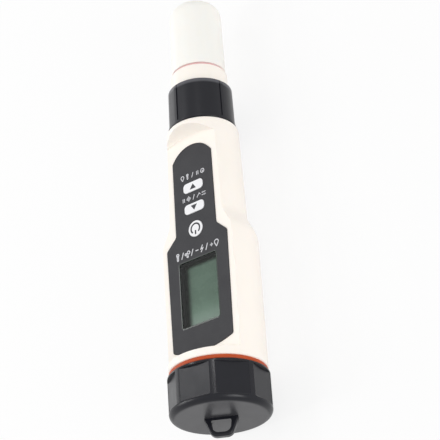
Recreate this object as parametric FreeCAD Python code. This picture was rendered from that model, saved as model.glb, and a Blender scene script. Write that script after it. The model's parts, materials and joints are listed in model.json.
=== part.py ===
import FreeCAD, Part
import os
from math import asin, cos, pi, radians, sin, sqrt, tan
from FreeCAD import Vector

# Water quality test pen, lying on a table with its display up.
# Millimetres: +Y runs along the pen towards the probe, +Z is up and X is across.
# A station is a distance along the pen from the rear end face of the white housing,
# and a height is a distance above the pen's centre line.

# Allowances used all through
snug = 0.02
fit_clearance = 0.05
cutter_margin = 1.0
same_place = 1e-3

# White housing: a wide end for the display, a shoulder and a narrow end with the keys
wide_radius = 18.5
wide_length = 53.5
shoulder_length = 7.7
narrow_length = 40.6
front_radius = 14.2
narrow_draft = 0.75
shoulder_round = 9.0
housing_edge_round = 0.6
housing_end_round = 1.3
wall = 1.8
rear_neck_length = 11.0
rear_neck_wall = 1.5
front_neck_length = 9.5
front_neck_wall = 1.8
neck_chamfer = 0.5

# Flat on the housing that carries the dark panel
flat_rear = 3.4
flat_rear_slope = 0.05
flat_front_margin = 3.7
flat_front_bow = 3.4
flat_front_half = 14.0
flat_bow_end = 0.6
flat_front_slope = 0.25

# Dark panel, inlaid in the flat
panel_thickness = 0.9
panel_inlay = 0.6
panel_clearance = 0.1
panel_rear_margin = 3.3
panel_front_margin = 4.8
panel_side_margin = 2.2
panel_front_taper = 0.2
panel_rear_taper = 0.5
panel_foot_inset = 0.7
panel_shoulder_offset = 2.1
panel_shoulder_length = 4.6
panel_shoulder_round = 1.6
panel_corner_round = 1.0
panel_rear_bow = 2.2
panel_front_bow = 4.3
panel_bow_end = 0.9

# Display window, bezel and liquid crystal cell
window_half = 9.2
window_rear = 17.1
window_length = 27.5
window_round = 1.2
window_least_round = 0.2
window_pane_thickness = 0.8
window_ledge = 0.3
bezel_wall = 1.0
bezel_border = 2.6
display_depth = 2.6
display_thickness = 2.2
display_border = 1.5

# Keys, plungers and switches
key_half_width = 4.7
key_half_length = 2.05
key_round = 1.5
power_key_radius = 3.3
power_key_setback = 4.6
near_key_pitch = 9.1
far_key_pitch = 9.2
key_proud = 0.2
key_edge_round = 0.16
key_clearance = 0.15
key_flange = 0.7
key_flange_thickness = 0.5
key_headroom = 0.2
key_travel = 0.4
plunger_radius = 1.7
plunger_length = 1.2
plunger_clearance = 0.15
switch_half = 3.0
switch_round = 0.4
switch_stub = 0.6

# Inner frame, circuit board and what stands on it
board_thickness = 1.6
board_rear = 1.0
board_wide_half = 12.6
board_narrow_half = 10.6
frame_thickness = 1.2
frame_overhang = 7.0
frame_border = 0.9
board_neck_setback = 3.5
board_neck_length = 7.0
board_round = 1.0
strip_width = 2.0
strip_height = 1.2
strip_half_length = 8.0
rail_reach = 1.2
rail_thickness = 1.2
screw_radius = 1.0
screw_head_radius = 1.9
screw_head_height = 1.2
screw_inset = 2.6
chip_height = 1.2
chip_gap = 1.6
chip_length = 5.2
chip_places = ((-2.9, 2.8), (2.4, 1.8), (5.2, 0.6))

# Button cells and their tube
cell_radius = 5.8
cell_thickness = 5.4
cell_count = 4
cell_rim = 0.5
cell_clearance = 0.2
cell_proud = 0.5
cell_setback = 1.5
tube_wall = 0.9
tube_end_wall = 1.6
tube_saddle_half = 4.0
tube_neck_gap = 0.2
terminal_thickness = 0.4

# Orange sealing ring and battery cap
ring_thickness = 1.75
ring_inset = 0.1
ring_round = 0.6
cap_overhang = 0.5
cap_wall = 2.8
cap_length = 15.9
cap_end_wall = 2.2
cap_corner = 2.4
cap_rim_round = 0.4
cap_bore_clearance = 0.3
cap_turn = 30.0
grip_count = 8
grip_rib_width = 2.0
grip_relief = 0.3
grip_rim = 0.8
grip_foot = 2.2
grip_foot_round = 0.8
disc_clearance = 1.2
disc_thickness = 0.5
spring_wire = 0.5
spring_wide_radius = 4.6
spring_narrow_radius = 2.8
spring_turns = 3.5
spring_sections_per_turn = 12
spring_wire_sides = 8

# Lanyard eye on the battery cap
eye_width = 12.4
eye_tip_width = 7.4
eye_length = 7.1
eye_thickness = 3.0
eye_round = 2.9
eye_shoulder = 1.0
eye_shoulder_round = 2.2
eye_edge_round = 0.7
eye_hole_width = 7.6
eye_hole_length = 4.6
eye_hole_lift = 1.0
eye_hole_tip_width = 6.4
eye_hole_root_round = 0.6
eye_hole_tip_round = 2.4

# Coupling nut
nut_gap = 0.3
nut_length = 18.2
nut_inset = 0.8
nut_wall = 2.1
nut_taper = 0.3
nut_front_round = 1.3
nut_rear_round = 0.4
nut_thread_clearance = 0.3
nut_lip_reach = 1.1
nut_lip_thickness = 2.3
nut_rib_count = 4
nut_rib_width = 1.3
nut_recess = 0.35
nut_recess_rear = 1.2
nut_turn = -12.0

# Probe
stub_clearance = 0.3
stub_length = 7.3
stub_gap = 0.2
stub_round = 0.4
flange_step = 1.9
flange_thickness = 1.2
collar_step = 2.4
collar_reach = 7.4
collar_gap = 0.2
collar_round = 0.5
collar_relief = 0.4
collar_ledge_gap = 0.3
mouth_clearance = 0.25
barrel_step = 0.7
barrel_wall = 1.7
guard_length = 22.8
guard_depth = 9.0
partition_thickness = 3.0
guard_round = 0.8
guard_slot_count = 4
guard_slot_width = 3.6
guard_slot_length = 7.0
o_ring_section = 0.65
o_ring_sides = 10
o_ring_clearance = 0.1
o_ring_depth = 4.3
carrier_thickness = 2.5
pin_radius = 0.5
pin_chamfer = 0.25
pin_clearance = 0.25
pin_circle = 4.0
pin_count = 5
pin_reach = 5.2
socket_gap = 0.5
socket_clearance = 1.2
socket_setback = 11.9
socket_flange_thickness = 2.0
socket_depth = 6.5

# Sensors in the probe's end
sensor_circle = 4.6
glass_stem_radius = 2.2
glass_bulb_radius = 2.8
glass_reach = 19.0
glass_recess = 1.6
redox_radius = 1.2
redox_recess = 4.0
thermometer_radius = 1.6
thermometer_recess = 3.0
junction_radius = 1.6
junction_proud = 0.8
sensor_reach = 9.0
sensor_dome = 0.8

# Sealing ring, protective cap and sponge over the probe
gasket_inset = 0.8
gasket_thickness = 1.0
gasket_clearance = 0.1
gasket_chamfer = 0.2
sheath_inset = 0.5
sheath_taper = 0.35
sheath_length = 32.7
sheath_corner = 5.5
sheath_bulge = 0.9
sheath_wall = 1.2
sheath_lift = 0.1
sponge_thickness = 6.5
sponge_clearance = 0.4
sponge_chamfer = 3.2

# Round sizes worked out from the ones above
foot_radius = front_radius + narrow_draft
ring_radius = wide_radius - ring_inset
cap_radius = wide_radius + cap_overhang
rear_neck_radius = cap_radius - cap_wall - cap_bore_clearance
rear_neck_bore = rear_neck_radius - rear_neck_wall
disc_radius = rear_neck_bore - disc_clearance
nut_rear_radius = front_radius - nut_inset
nut_front_radius = nut_rear_radius - nut_taper
front_neck_radius = nut_rear_radius - nut_wall - nut_thread_clearance
front_neck_bore = front_neck_radius - front_neck_wall
stub_radius = front_neck_bore - stub_clearance
flange_radius = stub_radius + flange_step
nut_lip_radius = stub_radius + nut_lip_reach
collar_radius = stub_radius + collar_step
mouth_radius = collar_radius + mouth_clearance
barrel_radius = stub_radius - barrel_step
probe_bore = barrel_radius - barrel_wall
socket_radius = front_neck_bore - socket_clearance
gasket_radius = collar_radius - gasket_inset
sheath_mouth_radius = collar_radius - sheath_inset
sheath_front_radius = sheath_mouth_radius - sheath_taper

# Heights, stacked up from the button cells that lie in the bottom of the housing
axis_height = cap_radius
tube_bore = cell_radius + cell_clearance
tube_radius = tube_bore + tube_wall
tube_height = tube_radius + tube_neck_gap - rear_neck_bore
frame_bottom = tube_height + tube_radius
frame_top = frame_bottom + frame_thickness
board_top = frame_top + board_thickness
display_bottom = board_top + strip_height
display_top = display_bottom + display_thickness
panel_top = display_top + display_depth
panel_floor = panel_top - panel_thickness
flat_height = panel_floor + panel_inlay
flat_underside = flat_height - wall
plunger_top = flat_underside - key_headroom - key_flange_thickness
switch_top = plunger_top - switch_stub

# Stations, counted from the rear end face of the housing
shoulder_start = wide_length
shoulder_end = shoulder_start + shoulder_length
housing_length = shoulder_end + narrow_length
flat_front = housing_length - flat_front_margin
panel_rear = flat_rear + panel_rear_margin
panel_front = flat_front - panel_front_margin
panel_shoulder_start = shoulder_start - panel_shoulder_offset
panel_shoulder_end = panel_shoulder_start + panel_shoulder_length
window_front = window_rear + window_length
power_station = shoulder_end - power_key_setback
near_key_station = power_station + near_key_pitch
far_key_station = near_key_station + far_key_pitch
board_neck_start = shoulder_start - board_neck_setback
board_neck_end = board_neck_start + board_neck_length
frame_rear = board_rear - frame_overhang
cell_rear = cell_setback - rear_neck_length
cell_front = cell_rear + cell_count * cell_thickness
tube_mouth = cell_rear + cell_proud
cap_mouth = -ring_thickness
cap_end = cap_mouth - cap_length
eye_end = cap_end - eye_length
socket_flange_rear = housing_length - socket_setback
nut_rear = housing_length + nut_gap
nut_front = nut_rear + nut_length
flange_rear = housing_length + front_neck_length + stub_gap
flange_front = flange_rear + flange_thickness
stub_rear = flange_rear - stub_length
o_ring_station = flange_rear - stub_gap - o_ring_depth
socket_front = stub_rear - socket_gap
lip_rear = flange_front + stub_gap
lip_front = lip_rear + nut_lip_thickness
collar_rear = lip_front + collar_gap
collar_front = nut_front + collar_reach
guard_front = collar_front + guard_length
guard_slot_rear = guard_front - guard_slot_length
partition_front = guard_front - guard_depth
partition_rear = partition_front - partition_thickness
glass_rear = partition_rear - glass_reach
glass_front = guard_front - glass_recess
sensor_rear = partition_rear - sensor_reach
gasket_front = collar_front + gasket_thickness
sheath_rear = gasket_front + sheath_lift
sheath_front = sheath_rear + sheath_length
middle_station = (eye_end + sheath_front) / 2
key_stations = {"power": power_station, "up": near_key_station, "down": far_key_station}

# Half widths of the panel, held back from the edges of the flat
panel_wide_half = sqrt(wide_radius ** 2 - flat_height ** 2) - panel_side_margin
panel_rear_half = panel_wide_half - panel_rear_taper
panel_foot_half = sqrt(foot_radius ** 2 - flat_height ** 2) - panel_side_margin - panel_foot_inset
panel_front_half = panel_foot_half - panel_front_taper


def point(x, station, height):
    return Vector(x, station - middle_station, axis_height + height)


def rounded_wire(corners, place):
    """Closed wire through corners (a, b, rounding), each rounded by a tangent arc."""
    flat = [Vector(a, b, 0) for a, b, _ in corners]
    edges = []
    stretches = []
    for i, (_, _, rounding) in enumerate(corners):
        back = (flat[i - 1] - flat[i]).normalize()
        ahead = (flat[(i + 1) % len(flat)] - flat[i]).normalize()
        half = back.getAngle(ahead) / 2
        reach = rounding / tan(half)
        inward = (back + ahead).normalize() * (rounding / sin(half) - rounding) if rounding else Vector()
        stretches.append((flat[i] + back * reach, flat[i] + inward, flat[i] + ahead * reach))
    for i, (start, middle, end) in enumerate(stretches):
        before = stretches[i - 1][2]
        if (start - before).Length > 1e-4:
            edges.append(Part.LineSegment(place(before), place(start)).toShape())
        if (end - start).Length > 1e-4:
            edges.append(Part.Arc(place(start), place(middle), place(end)).toShape())
    return Part.Wire(edges)


def outward(solid):
    if solid.Volume < 0:
        solid.reverse()
    return solid


def turned(corners):
    """Solid of revolution about the pen's centre line from corners (station, radius, rounding)."""
    wire = rounded_wire(corners, lambda p: point(0, p.x, p.y))
    return outward(Part.Face(wire).revolve(point(0, 0, 0), Vector(0, 1, 0), 360))


def tube(rear, front, outer, inner=0.0):
    """Plain round tube or rod on the centre line."""
    return turned([(rear, inner, 0), (rear, outer, 0), (front, outer, 0), (front, inner, 0)])


def rod(radius, rear, front, x=0.0, height=0.0):
    return Part.makeCylinder(radius, front - rear, point(x, rear, height), Vector(0, 1, 0))


def prism(corners, low, high):
    """Solid with an outline of (x, station, rounding) between two heights."""
    wire = rounded_wire(corners, lambda p: point(p.x, p.y, low))
    return outward(Part.Face(wire).extrude(Vector(0, 0, high - low)))


def rectangle(x_low, x_high, rear, front, rounding=0.0):
    corners = ((x_low, rear), (x_high, rear), (x_high, front), (x_low, front))
    return [(x, station, rounding) for x, station in corners]


def post(radius, x, station, low, high):
    return Part.makeCylinder(radius, high - low, point(x, station, low))


def round_about(solid, degrees):
    """Copy turned about the pen's centre line; positive leans the top towards +X."""
    copy = solid.copy()
    copy.rotate(point(0, 0, 0), Vector(0, 1, 0), degrees)
    return copy


def bowed_edge(half, bow, end):
    """Arc that bows out over an edge and runs straight for a short end piece at each corner.

    Returns how far the corner and the meeting point of the end pieces lie from the arc's top,
    inwards and outwards, and the arc's radius.
    """
    arc_half = half - end
    radius = (arc_half ** 2 + bow ** 2) / (2 * bow)
    lean = asin(arc_half / radius)
    corner = bow + end * tan(lean)
    meeting = arc_half * tan(lean) - bow
    return corner, meeting, radius


def housing_profile(inset, rear, front, edge_round, end_round):
    return [
        (rear, 0, 0),
        (rear, wide_radius - inset, edge_round),
        (shoulder_start, wide_radius - inset, shoulder_round),
        (shoulder_end, foot_radius - inset, shoulder_round),
        (front, front_radius - inset, end_round),
        (front, 0, 0),
    ]


def flat_cutter(drop):
    """What is cut away above the flat, with leaning end walls; drop lowers and widens it."""
    rise = wide_radius - flat_height + drop + cutter_margin
    wide_half = wide_radius + 2 * cutter_margin
    corner, meeting, radius = bowed_edge(flat_front_half, flat_front_bow, flat_bow_end)
    sections = []
    for lift in (0.0, rise):
        rear = flat_rear - drop - lift * flat_rear_slope
        front = flat_front + drop + lift * flat_front_slope
        corners = [
            (-wide_half, rear, 0),
            (wide_half, rear, 0),
            (wide_half, shoulder_start, 0),
            (flat_front_half, shoulder_end, 0),
            (flat_front_half, front - corner, 0),
            (0, front + meeting, radius),
            (-flat_front_half, front - corner, 0),
            (-flat_front_half, shoulder_end, 0),
            (-wide_half, shoulder_start, 0),
        ]
        height = flat_height - drop + lift
        sections.append(rounded_wire(corners, lambda p: point(p.x, p.y, height)))
    return outward(Part.makeLoft(sections, True, True))


def panel_outline(grow=0.0):
    rear_corner, rear_meeting, rear_radius = bowed_edge(panel_rear_half, panel_rear_bow, panel_bow_end)
    front_corner, front_meeting, bow_radius = bowed_edge(panel_front_half, panel_front_bow, panel_bow_end)
    side = [
        (panel_rear_half + grow, panel_rear + rear_corner - grow, panel_corner_round),
        (panel_wide_half + grow, panel_shoulder_start, panel_shoulder_round),
        (panel_foot_half + grow, panel_shoulder_end, panel_shoulder_round),
        (panel_front_half + grow, panel_front - front_corner + grow, panel_corner_round),
    ]
    mirrored = [(-x, station, rounding) for x, station, rounding in reversed(side)]
    front_tip = [(0, panel_front + front_meeting + grow, bow_radius)]
    rear_tip = [(0, panel_rear - rear_meeting - grow, rear_radius)]
    return side + front_tip + mirrored + rear_tip


def window_outline(grow):
    return rectangle(
        -window_half - grow, window_half + grow, window_rear - grow, window_front + grow,
        max(window_round + grow, window_least_round))


def key_outline(name, grow=0.0):
    station = key_stations[name]
    if name == "power":
        half = power_key_radius + grow
        return rectangle(-half, half, station - half, station + half, half)
    half_width = key_half_width + grow
    half_length = key_half_length + grow
    return rectangle(-half_width, half_width, station - half_length, station + half_length, key_round + grow)


def board_outline(rear, wide, narrow):
    side = [
        (wide, rear, board_round),
        (wide, board_neck_start, board_round),
        (narrow, board_neck_end, board_round),
        (narrow, socket_flange_rear, board_round),
    ]
    return side + [(-x, station, rounding) for x, station, rounding in reversed(side)]


def screw_places():
    rear = board_rear + screw_inset
    front = socket_flange_rear - screw_inset
    wide = board_wide_half - screw_inset
    narrow = board_narrow_half - screw_inset
    return [(-wide, rear), (wide, rear), (-narrow, front), (narrow, front)]


def make_rails():
    """Two ledges inside each part of the housing, which the inner frame slides along."""
    inner = turned(housing_profile(wall / 2, wall, housing_length - wall, 0, 0))
    rails = []
    stretches = (
        (board_wide_half, wall, shoulder_start - wall),
        (board_narrow_half, shoulder_end, socket_flange_rear - wall),
    )
    for half, rear, front in stretches:
        edge = half + frame_border - rail_reach
        for side in (-1, 1):
            low, high = sorted((side * edge, side * wide_radius))
            bar = prism(rectangle(low, high, rear, front), frame_bottom - rail_thickness, frame_bottom)
            rails.append(bar.common(inner))
    return rails


def make_housing():
    body = turned(housing_profile(0, 0, housing_length, housing_edge_round, housing_end_round))
    body = body.cut(flat_cutter(0))
    rear_neck = turned([
        (-rear_neck_length, 0, 0),
        (-rear_neck_length, rear_neck_radius - neck_chamfer, 0),
        (neck_chamfer - rear_neck_length, rear_neck_radius, 0),
        (wall, rear_neck_radius, 0),
        (wall, 0, 0),
    ])
    neck_end = housing_length + front_neck_length
    front_neck = turned([
        (housing_length - wall, 0, 0),
        (housing_length - wall, front_neck_radius, 0),
        (neck_end - neck_chamfer, front_neck_radius, 0),
        (neck_end, front_neck_radius - neck_chamfer, 0),
        (neck_end, 0, 0),
    ])
    body = body.fuse([rear_neck, front_neck])
    cavity = turned(housing_profile(wall, wall, housing_length - wall, 0, 0)).cut(flat_cutter(wall))
    rear_bore = tube(-rear_neck_length, wall + fit_clearance, rear_neck_bore)
    front_bore = tube(housing_length - wall - fit_clearance, neck_end, front_neck_bore)
    body = body.cut([cavity, rear_bore, front_bore])
    body = body.fuse(make_rails())
    cuts = [prism(panel_outline(panel_clearance), panel_floor, panel_top)]
    cuts.append(prism(window_outline(bezel_wall + panel_clearance), flat_underside - wall, panel_top))
    for name in key_stations:
        cuts.append(prism(key_outline(name, key_clearance), flat_underside - wall, panel_top))
    return body.cut(cuts).removeSplitter()


def make_panel():
    plate = prism(panel_outline(), panel_floor, panel_top)
    openings = [prism(window_outline(0), panel_floor, panel_top)]
    for name in key_stations:
        openings.append(prism(key_outline(name, key_clearance), panel_floor, panel_top))
    return plate.cut(openings)


def make_window_pane():
    return prism(window_outline(-fit_clearance), panel_floor, panel_floor + window_pane_thickness)


def make_bezel():
    """Dark frame that holds the display cell and rises through the housing to the pane."""
    frame = prism(window_outline(bezel_border), board_top, flat_underside)
    lip = prism(window_outline(bezel_wall), flat_underside, panel_floor)
    pocket = prism(window_outline(display_border + fit_clearance), board_top, display_top)
    view = prism(window_outline(-window_ledge), display_top, panel_floor)
    return frame.fuse(lip).cut([pocket, view]).removeSplitter()


def make_display():
    return prism(window_outline(display_border), display_bottom, display_top)


def make_connector_strips():
    strips = []
    for rear in (window_rear - display_border, window_front + display_border - strip_width):
        outline = rectangle(-strip_half_length, strip_half_length, rear, rear + strip_width)
        strips.append(prism(outline, board_top, display_bottom))
    return Part.makeCompound(strips)


def make_board():
    board = prism(board_outline(board_rear, board_wide_half, board_narrow_half), frame_top, board_top)
    hole_radius = screw_radius + fit_clearance
    holes = [post(hole_radius, x, station, frame_top, board_top) for x, station in screw_places()]
    return board.cut(holes)


def make_inner_frame():
    outline = board_outline(frame_rear, board_wide_half + frame_border, board_narrow_half + frame_border)
    frame = prism(outline, frame_bottom, frame_top)
    holes = [post(screw_radius + snug, x, station, frame_bottom, frame_top) for x, station in screw_places()]
    return frame.cut(holes)


def make_screws():
    screws = []
    for x, station in screw_places():
        shank = post(screw_radius, x, station, frame_bottom, board_top)
        head = post(screw_head_radius, x, station, board_top, board_top + screw_head_height)
        head = head.makeChamfer(screw_head_height / 3, [head.Edges[0]])
        screws.append(shank.fuse(head))
    return Part.makeCompound(screws)


def make_chips():
    """Measuring chip, processor and crystal on the board beyond the last key."""
    rear = far_key_station + switch_half + chip_gap
    chips = []
    for x, half_width in chip_places:
        outline = rectangle(x - half_width, x + half_width, rear, rear + chip_length)
        chips.append(prism(outline, board_top, board_top + chip_height))
    return Part.makeCompound(chips)


def make_switch(name):
    station = key_stations[name]
    outline = rectangle(-switch_half, switch_half, station - switch_half, station + switch_half, switch_round)
    body = prism(outline, board_top, switch_top)
    well_floor = plunger_top - plunger_length - key_travel - plunger_clearance
    return body.cut(post(plunger_radius + plunger_clearance, 0, station, well_floor, switch_top))


def make_plunger(name):
    return post(plunger_radius, 0, key_stations[name], plunger_top - plunger_length, plunger_top)


def make_key(name):
    """Key cap in the panel's cut-out, with a flange under the housing that keeps it in."""
    cap = prism(key_outline(name), plunger_top, panel_top + key_proud)
    top_edges = [e for e in cap.Edges if e.BoundBox.ZMin > axis_height + panel_top + key_proud - same_place]
    cap = cap.makeFillet(min(key_edge_round, key_proud), top_edges)
    flange = prism(key_outline(name, key_flange), plunger_top, plunger_top + key_flange_thickness)
    return cap.fuse(flange).removeSplitter()


def make_battery_tube():
    """Open tube for the button cells, with a flat saddle against the inner frame."""
    closed_end = cell_front + terminal_thickness + tube_end_wall
    body = rod(tube_radius, tube_mouth, closed_end, 0, tube_height)
    footprint = rectangle(-tube_saddle_half, tube_saddle_half, tube_mouth, closed_end)
    saddle = prism(footprint, tube_height, frame_bottom)
    bore = rod(tube_bore, tube_mouth, cell_front + terminal_thickness, 0, tube_height)
    return body.fuse(saddle).cut(bore).removeSplitter()


def make_tube_terminal():
    return rod(cell_radius, cell_front, cell_front + terminal_thickness, 0, tube_height)


def make_cell(index):
    """Button cell: a can with a smaller raised face on the side that meets the next cell."""
    rear = cell_rear + index * cell_thickness
    can = rod(cell_radius, rear + cell_rim, rear + cell_thickness, 0, tube_height)
    face = rod(cell_radius - 2 * cell_rim, rear, rear + cell_rim, 0, tube_height)
    return can.fuse(face)


def make_seal_ring():
    return turned([
        (cap_mouth, rear_neck_radius + fit_clearance, 0),
        (cap_mouth, ring_radius, ring_round),
        (0, ring_radius, ring_round),
        (0, rear_neck_radius + fit_clearance, 0),
    ])


def grip_cutters():
    """Flats round the battery cap, which leave a straight rib between each pair."""
    pitch = 2 * pi / grip_count
    distance = cap_radius * cos(pitch / 2) + grip_relief
    half = cap_radius * sin(pitch / 2) - grip_rib_width / 2
    rear = cap_end + grip_foot
    cutter = prism(rectangle(-half, half, rear, cap_mouth - grip_rim), distance, cap_radius + grip_foot)
    inner_edges = []
    for edge in cutter.Edges:
        box = edge.BoundBox
        low = box.ZMax < axis_height + distance + same_place
        at_foot = box.YMax < rear - middle_station + same_place
        if low and at_foot:
            inner_edges.append(edge)
    cutter = cutter.makeFillet(grip_foot_round, inner_edges)
    return [round_about(cutter, cap_turn + (k + 0.5) * 360 / grip_count) for k in range(grip_count)]


def make_eye():
    """Flat lug with a lanyard hole, standing on the middle of the battery cap's end."""
    root = cap_end + cap_end_wall / 2
    shoulder = cap_end - eye_shoulder
    corners = [
        (-eye_width / 2, root, 0),
        (-eye_width / 2, shoulder, eye_shoulder_round),
        (-eye_tip_width / 2, eye_end, eye_round),
        (eye_tip_width / 2, eye_end, eye_round),
        (eye_width / 2, shoulder, eye_shoulder_round),
        (eye_width / 2, root, 0),
    ]
    lug = prism(corners, -eye_thickness / 2, eye_thickness / 2)
    rims = []
    for edge in lug.Edges:
        box = edge.BoundBox
        if box.ZLength < same_place and box.YMin < root - middle_station - same_place:
            rims.append(edge)
    lug = lug.makeFillet(eye_edge_round, rims)
    hole_front = cap_end - eye_hole_lift
    hole_rear = hole_front - eye_hole_length
    outline = [
        (-eye_hole_width / 2, hole_front, eye_hole_root_round),
        (-eye_hole_tip_width / 2, hole_rear, eye_hole_tip_round),
        (eye_hole_tip_width / 2, hole_rear, eye_hole_tip_round),
        (eye_hole_width / 2, hole_front, eye_hole_root_round),
    ]
    hole = prism(outline, -eye_thickness, eye_thickness)
    return round_about(lug.cut(hole), cap_turn)


def make_battery_cap():
    bore = rear_neck_radius + cap_bore_clearance
    cup = turned([
        (cap_end, 0, 0),
        (cap_end, cap_radius, cap_corner),
        (cap_mouth, cap_radius, cap_rim_round),
        (cap_mouth, bore, 0),
        (cap_end + cap_end_wall, bore, 0),
        (cap_end + cap_end_wall, 0, 0),
    ])
    return cup.cut(grip_cutters()).fuse(make_eye()).removeSplitter()


def make_contact_disc():
    floor = cap_end + cap_end_wall
    return tube(floor, floor + disc_thickness, disc_radius)


def make_contact_spring():
    """Tapering coil between the disc in the cap and the last button cell.

    Eight-sided sections of the wire stand square to the coil's line and are joined in order.
    """
    rear = cap_end + cap_end_wall + disc_thickness + spring_wire / 2
    length = cell_rear - spring_wire / 2 - rear
    centre = point(0, rear, tube_height)
    count = int(spring_turns * spring_sections_per_turn)
    sections = []
    for k in range(count + 1):
        share = k / count
        turn = 2 * pi * spring_turns * share
        radius = spring_wide_radius + (spring_narrow_radius - spring_wide_radius) * share
        out = Vector(cos(turn), 0, sin(turn))
        sweep = 2 * pi * spring_turns * radius
        along = Vector(-sin(turn) * sweep, length, cos(turn) * sweep)
        across = along.cross(out).normalize()
        middle = centre + out * radius + Vector(0, length * share, 0)
        corners = []
        for side in range(spring_wire_sides + 1):
            angle = 2 * pi * side / spring_wire_sides
            corners.append(middle + (out * cos(angle) + across * sin(angle)) * (spring_wire / 2))
        sections.append(Part.makePolygon(corners))
    return outward(Part.makeLoft(sections, True, True))


def nut_radius(station):
    share = (station - nut_rear) / nut_length
    return nut_rear_radius + (nut_front_radius - nut_rear_radius) * share


def make_nut():
    bore = front_neck_radius + nut_thread_clearance
    body = turned([
        (nut_rear, bore, 0),
        (nut_rear, nut_rear_radius, nut_rear_round),
        (nut_front, nut_front_radius, nut_front_round),
        (nut_front, mouth_radius, 0),
        (lip_front, mouth_radius, 0),
        (lip_front, nut_lip_radius, 0),
        (lip_rear, nut_lip_radius, 0),
        (lip_rear, bore, 0),
    ])
    rear = nut_rear + nut_recess_rear
    front = nut_front + cutter_margin
    recess = turned([
        (rear, nut_radius(rear) - nut_recess, 0),
        (rear, nut_rear_radius + cutter_margin, 0),
        (front, nut_rear_radius + cutter_margin, 0),
        (front, nut_radius(front) - nut_recess, 0),
    ])
    half = nut_rib_width / 2
    for k in range(nut_rib_count):
        rib = prism(rectangle(-half, half, nut_rear, front), 0, nut_rear_radius + 2 * cutter_margin)
        recess = recess.cut(round_about(rib, nut_turn + k * 360 / nut_rib_count))
    return body.cut(recess)


def sensor_place(index):
    angle = radians(90 + 120 * index)
    return sensor_circle * cos(angle), sensor_circle * sin(angle)


def make_probe_housing():
    """Stub, flange, barrel and slotted guard, bored from the rear up to the sensor partition."""
    groove = o_ring_section * 2 + o_ring_clearance
    groove_radius = front_neck_bore - o_ring_clearance - o_ring_section * 2 - snug
    body = turned([
        (stub_rear, probe_bore, 0),
        (stub_rear, stub_radius, stub_round),
        (o_ring_station - groove / 2, stub_radius, 0),
        (o_ring_station - groove / 2, groove_radius, 0),
        (o_ring_station + groove / 2, groove_radius, 0),
        (o_ring_station + groove / 2, stub_radius, 0),
        (flange_rear, stub_radius, 0),
        (flange_rear, flange_radius, 0),
        (flange_front, flange_radius, 0),
        (flange_front, stub_radius, 0),
        (collar_front, stub_radius, 0),
        (collar_front, barrel_radius, 0),
        (guard_front, barrel_radius, guard_round),
        (guard_front, probe_bore, 0),
        (partition_front, probe_bore, 0),
        (partition_front, 0, 0),
        (partition_rear, 0, 0),
        (partition_rear, probe_bore, 0),
    ])
    cuts = [rod(glass_stem_radius + snug, partition_rear, partition_front)]
    for index, radius in enumerate((redox_radius, thermometer_radius, junction_radius)):
        x, height = sensor_place(index)
        cuts.append(rod(radius + snug, partition_rear, partition_front, x, height))
    half = guard_slot_width / 2
    for k in range(guard_slot_count):
        slot = prism(rectangle(-half, half, guard_slot_rear, guard_front), 0, barrel_radius + cutter_margin)
        cuts.append(round_about(slot, (k + 0.5) * 360 / guard_slot_count))
    return body.cut(cuts)


def make_probe_collar():
    """White sleeve on the probe, a little slimmer where it stands inside the nut's mouth."""
    ledge = nut_front + collar_ledge_gap
    return turned([
        (collar_rear, stub_radius, 0),
        (collar_rear, collar_radius - collar_relief, 0),
        (ledge, collar_radius - collar_relief, 0),
        (ledge, collar_radius, 0),
        (collar_front, collar_radius, collar_round),
        (collar_front, stub_radius, 0),
    ])


def make_probe_o_ring():
    centre = front_neck_bore - o_ring_clearance - o_ring_section
    corners = []
    for side in range(o_ring_sides):
        angle = 2 * pi * side / o_ring_sides
        station = o_ring_station + o_ring_section * cos(angle)
        corners.append((station, centre + o_ring_section * sin(angle), 0))
    return turned(corners)


def pin_places():
    places = []
    for k in range(pin_count):
        angle = 2 * pi * k / pin_count
        places.append((pin_circle * sin(angle), pin_circle * cos(angle)))
    return places


def make_pin_carrier():
    body = tube(stub_rear, stub_rear + carrier_thickness, probe_bore)
    holes = [rod(pin_radius + snug, stub_rear, stub_rear + carrier_thickness, x, h) for x, h in pin_places()]
    return body.cut(holes)


def make_contact_pins():
    pins = []
    for x, height in pin_places():
        pin = rod(pin_radius, stub_rear - pin_reach, stub_rear + carrier_thickness, x, height)
        tip = [e for e in pin.Edges if e.BoundBox.YMax < stub_rear - pin_reach - middle_station + same_place]
        pins.append(pin.makeChamfer(pin_chamfer, tip))
    return Part.makeCompound(pins)


def make_probe_socket():
    """Connector in the front of the housing: a flange that seats in the bore, and a holed nose."""
    share = (socket_flange_rear + socket_flange_thickness - shoulder_end) / (housing_length - shoulder_end)
    seat = foot_radius + (front_radius - foot_radius) * share - wall - fit_clearance
    flange = tube(socket_flange_rear, socket_flange_rear + socket_flange_thickness, seat)
    nose = tube(socket_flange_rear, socket_front, socket_radius)
    block = flange.fuse(nose).cut(flat_cutter(wall + fit_clearance))
    hole_radius = pin_radius + pin_clearance
    holes = [rod(hole_radius, socket_front - socket_depth, socket_front, x, h) for x, h in pin_places()]
    return block.cut(holes).removeSplitter()


def make_glass_electrode():
    """Glass stem that ends in the thin round bulb that senses acidity."""
    bulb_centre = glass_front - glass_bulb_radius
    stem = tube(glass_rear, bulb_centre, glass_stem_radius)
    bulb = Part.makeSphere(glass_bulb_radius, point(0, bulb_centre, 0))
    return stem.fuse(bulb).removeSplitter()


def domed_pin(radius, front, index):
    x, height = sensor_place(index)
    pin = rod(radius, sensor_rear, front, x, height)
    tip = [e for e in pin.Edges if e.BoundBox.YMin > front - middle_station - same_place]
    return pin.makeFillet(radius * sensor_dome, tip)


def make_gasket():
    return turned([
        (collar_front, barrel_radius + gasket_clearance, 0),
        (collar_front, gasket_radius, 0),
        (gasket_front - gasket_chamfer, gasket_radius, 0),
        (gasket_front, gasket_radius - gasket_chamfer, 0),
        (gasket_front, barrel_radius + gasket_clearance, 0),
    ])


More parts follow.
